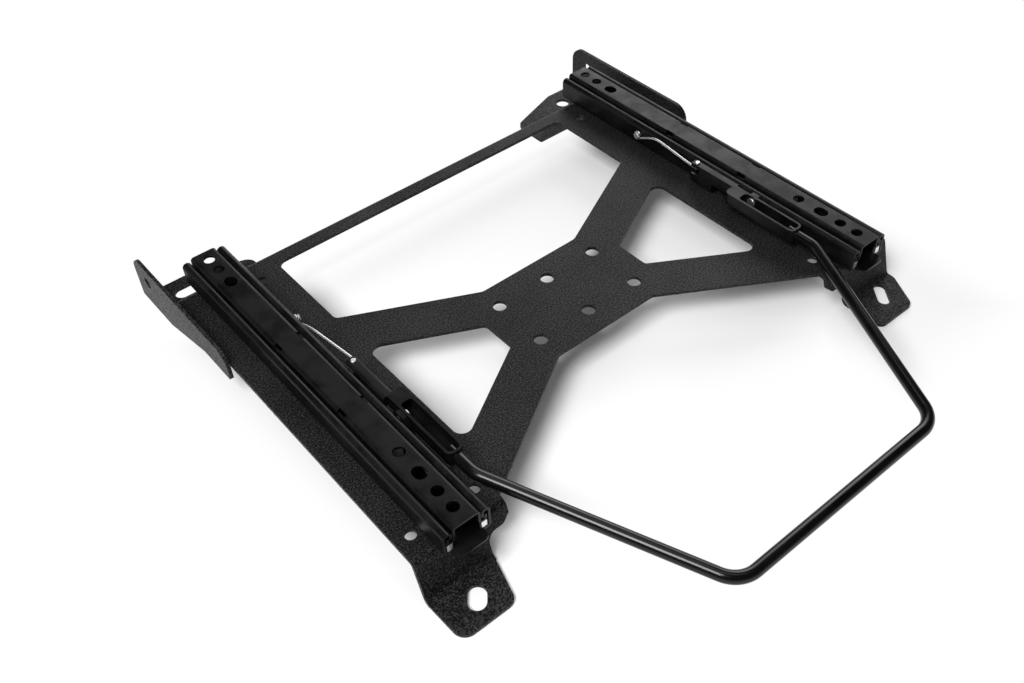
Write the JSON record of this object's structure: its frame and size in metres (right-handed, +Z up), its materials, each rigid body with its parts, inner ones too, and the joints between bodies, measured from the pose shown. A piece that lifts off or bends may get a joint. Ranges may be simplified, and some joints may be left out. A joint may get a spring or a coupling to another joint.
{
  "type": "sliding seat mount",
  "caption": "Flat black seat base plate with bent feet, side flanges, sliding rails and a U-shaped release bar that unlocks them",
  "frame": {"origin": "bottom centre of the whole part at rest, on the surface that its feet stand on", "axes": "X to the right and across the rails, Y to the rear and along the rails, Z up"},
  "size_m": [0.499, 0.5442, 0.0594],
  "materials": {
    "plate_black": "fine textured powder coat",
    "rail_black": "smooth satin black",
    "bar_black": "gloss black",
    "zinc": "bright zinc plate",
    "steel": "polished"
  },
  "bodies": {
    "base": {"base_plate": "plate_black", "lower_rail_left": "rail_black", "lower_rail_right": "rail_black", "rail_screws": "rail_black", "rail_nuts": "zinc", "stop_studs": "zinc", "cage_stops": "zinc", "lever_bracket_left": "rail_black", "lever_bracket_right": "rail_black", "pivot_pins": "zinc", "spring_anchors": "zinc", "return_spring_left": "zinc", "return_spring_right": "zinc"},
    "slider_left": {"upper_rail_left": "rail_black", "travel_stops_left": "zinc"},
    "slider_right": {"upper_rail_right": "rail_black", "travel_stops_right": "zinc"},
    "cages_left": {"ball_cages_left": "zinc", "bearing_balls_left": "steel"},
    "cages_right": {"ball_cages_right": "zinc", "bearing_balls_right": "steel"},
    "lever": {"release_bar": "bar_black", "lever_left": "rail_black", "lever_right": "rail_black", "lock_comb_left": "rail_black", "lock_comb_right": "rail_black", "spring_pins": "zinc"}
  },
  "joints": [
    {"name": "slider_left_slide", "type": "slide", "parent": "base", "child": "slider_left", "axis": [0, 1, 0], "range_m": [-0.09, 0.09]},
    {"name": "slider_right_slide", "type": "slide", "parent": "base", "child": "slider_right", "axis": [0, 1, 0], "range_m": [-0.09, 0.09]},
    {"name": "cages_left_roll", "type": "slide", "parent": "base", "child": "cages_left", "axis": [0, 1, 0], "range_m": [-0.045, 0.045]},
    {"name": "cages_right_roll", "type": "slide", "parent": "base", "child": "cages_right", "axis": [0, 1, 0], "range_m": [-0.045, 0.045]},
    {"name": "lever_lift", "type": "hinge", "parent": "base", "child": "lever", "pos_m": [0, -0.027, 0.0525], "axis": [-1, 0, 0], "range_deg": [0, 4], "stiffness_Nm_per_rad": 4, "springref_deg": -11.46, "deforming": ["return_spring_left", "return_spring_right"]}
  ],
  "couplings": [
    {"joint": "cages_left_roll", "follows": "slider_left_slide", "ratio": 0.5},
    {"joint": "cages_right_roll", "follows": "slider_right_slide", "ratio": 0.5}
  ]
}
